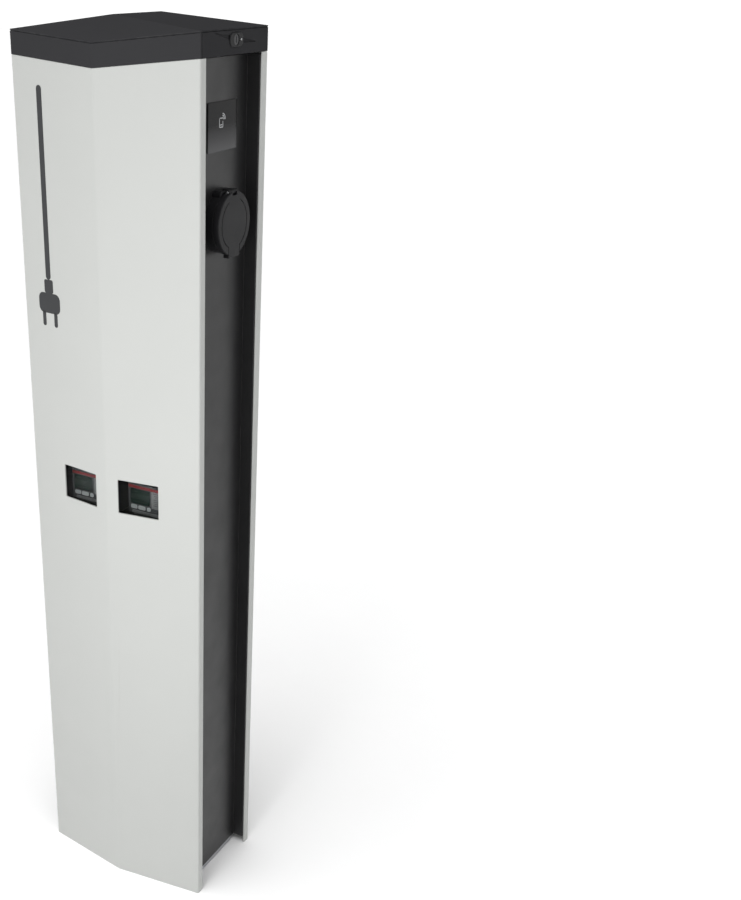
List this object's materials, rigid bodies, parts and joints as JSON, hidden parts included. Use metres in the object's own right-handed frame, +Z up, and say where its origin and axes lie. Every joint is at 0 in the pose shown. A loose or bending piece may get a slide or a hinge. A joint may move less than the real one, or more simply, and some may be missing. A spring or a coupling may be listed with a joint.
{
  "type": "ev charging post",
  "caption": "Free-standing electric vehicle charging post with a bowed sheet housing, hipped lift-off cap, side charge sockets with hinged lids, card readers and metering windows.",
  "frame": {"origin": "middle of the footprint, on the ground", "axes": "+Z up, -Y out of the front with the meter windows, +X towards the side with the cap lock"},
  "size_m": [0.312, 0.219, 1.4],
  "materials": {
    "grey_sheet": "fine-textured powder coat",
    "black_sheet": "fine-textured powder coat",
    "black_plastic": "fine moulded grain",
    "galvanised_steel": "satin",
    "bright_metal": "satin",
    "contact_metal": "plated",
    "device_plastic": "satin",
    "key_plastic": "satin",
    "display_glass": "gloss",
    "clear_pane": "clear",
    "reader_gloss": "gloss",
    "rubber": "matte"
  },
  "bodies": {
    "post": {"base_plate": "galvanised_steel", "breaker_left": "device_plastic", "breaker_rail": "galvanised_steel", "breaker_right": "device_plastic", "cable_clamp": "device_plastic", "cap_keeper": "galvanised_steel", "charge_controller": "device_plastic", "crossbar_lower": "galvanised_steel", "crossbar_upper": "galvanised_steel", "equipment_plate": "galvanised_steel", "frame_bolts": "galvanised_steel", "front_shell": "grey_sheet", "lid_hinge_pin_left": "bright_metal", "lid_hinge_pin_right": "bright_metal", "meter_case_left": "device_plastic", "meter_case_right": "device_plastic", "meter_display_left": "display_glass", "meter_display_right": "display_glass", "meter_rail": "galvanised_steel", "plug_lock_actuator_left": "black_plastic", "plug_lock_actuator_right": "black_plastic", "reader_body_left": "black_plastic", "reader_body_right": "black_plastic", "reader_glass_left": "reader_gloss", "reader_glass_right": "reader_gloss", "rear_shell": "grey_sheet", "side_panel_left": "black_sheet", "side_panel_right": "black_sheet", "socket_contacts_left": "contact_metal", "socket_contacts_right": "contact_metal", "socket_insert_left": "black_plastic", "socket_insert_right": "black_plastic", "socket_shell_left": "black_plastic", "socket_shell_right": "black_plastic", "supply_terminals": "device_plastic", "upright_left": "galvanised_steel", "upright_right": "galvanised_steel", "window_gasket_left": "rubber", "window_gasket_right": "rubber", "window_pane_left": "clear_pane", "window_pane_right": "clear_pane"},
    "cap": {"cap": "black_plastic", "lock_housing": "black_plastic", "lock_nut": "galvanised_steel"},
    "cap_lock": {"lock_barrel": "bright_metal", "lock_cam": "galvanised_steel"},
    "lid_right": {"socket_lid_right": "black_plastic", "lid_seal_right": "rubber"},
    "plug_lock_right": {"plug_lock_pin_right": "bright_metal"},
    "breaker_lever_right": {"breaker_lever_right": "key_plastic"},
    "meter_key_a_right": {"meter_key_a_right": "key_plastic"},
    "meter_key_b_right": {"meter_key_b_right": "key_plastic"},
    "meter_key_c_right": {"meter_key_c_right": "key_plastic"},
    "lid_left": {"socket_lid_left": "black_plastic", "lid_seal_left": "rubber"},
    "plug_lock_left": {"plug_lock_pin_left": "bright_metal"},
    "breaker_lever_left": {"breaker_lever_left": "key_plastic"},
    "meter_key_a_left": {"meter_key_a_left": "key_plastic"},
    "meter_key_b_left": {"meter_key_b_left": "key_plastic"},
    "meter_key_c_left": {"meter_key_c_left": "key_plastic"}
  },
  "joints": [
    {"name": "cap_lift", "type": "slide", "parent": "post", "child": "cap", "axis": [0, 0, 1], "range_m": [0, 0.15]},
    {"name": "cap_lock_turn", "type": "hinge", "parent": "cap", "child": "cap_lock", "pos_m": [0.14, 0, 1.368], "axis": [1, 0, 0], "range_deg": [0, 90]},
    {"name": "lid_right_hinge", "type": "hinge", "parent": "post", "child": "lid_right", "pos_m": [0.1509, 0, 1.1755], "axis": [0, -1, 0], "range_deg": [0, 105], "stiffness_Nm_per_rad": 0.03, "springref_deg": -34.38},
    {"name": "plug_lock_right_slide", "type": "slide", "parent": "post", "child": "plug_lock_right", "axis": [0, 0, -1], "range_m": [0, 0.004]},
    {"name": "breaker_right_switch", "type": "hinge", "parent": "post", "child": "breaker_lever_right", "pos_m": [0.054, -0.0633, 0.591], "axis": [1, 0, 0], "range_deg": [0, 40]},
    {"name": "meter_key_a_right_press", "type": "slide", "parent": "post", "child": "meter_key_a_right", "axis": [0, 1, 0], "range_m": [0, 0.0006], "stiffness_N_per_m": 200, "springref_m": -0.0005},
    {"name": "meter_key_b_right_press", "type": "slide", "parent": "post", "child": "meter_key_b_right", "axis": [0, 1, 0], "range_m": [0, 0.0006], "stiffness_N_per_m": 200, "springref_m": -0.0005},
    {"name": "meter_key_c_right_press", "type": "slide", "parent": "post", "child": "meter_key_c_right", "axis": [0, 1, 0], "range_m": [0, 0.0006], "stiffness_N_per_m": 200, "springref_m": -0.0005},
    {"name": "lid_left_hinge", "type": "hinge", "parent": "post", "child": "lid_left", "pos_m": [-0.1509, 0, 1.1755], "axis": [0, 1, 0], "range_deg": [0, 105], "stiffness_Nm_per_rad": 0.03, "springref_deg": -34.38},
    {"name": "plug_lock_left_slide", "type": "slide", "parent": "post", "child": "plug_lock_left", "axis": [0, 0, -1], "range_m": [0, 0.004]},
    {"name": "breaker_left_switch", "type": "hinge", "parent": "post", "child": "breaker_lever_left", "pos_m": [-0.054, -0.0633, 0.591], "axis": [1, 0, 0], "range_deg": [0, 40]},
    {"name": "meter_key_a_left_press", "type": "slide", "parent": "post", "child": "meter_key_a_left", "axis": [0, 1, 0], "range_m": [0, 0.0006], "stiffness_N_per_m": 200, "springref_m": -0.0005},
    {"name": "meter_key_b_left_press", "type": "slide", "parent": "post", "child": "meter_key_b_left", "axis": [0, 1, 0], "range_m": [0, 0.0006], "stiffness_N_per_m": 200, "springref_m": -0.0005},
    {"name": "meter_key_c_left_press", "type": "slide", "parent": "post", "child": "meter_key_c_left", "axis": [0, 1, 0], "range_m": [0, 0.0006], "stiffness_N_per_m": 200, "springref_m": -0.0005}
  ]
}
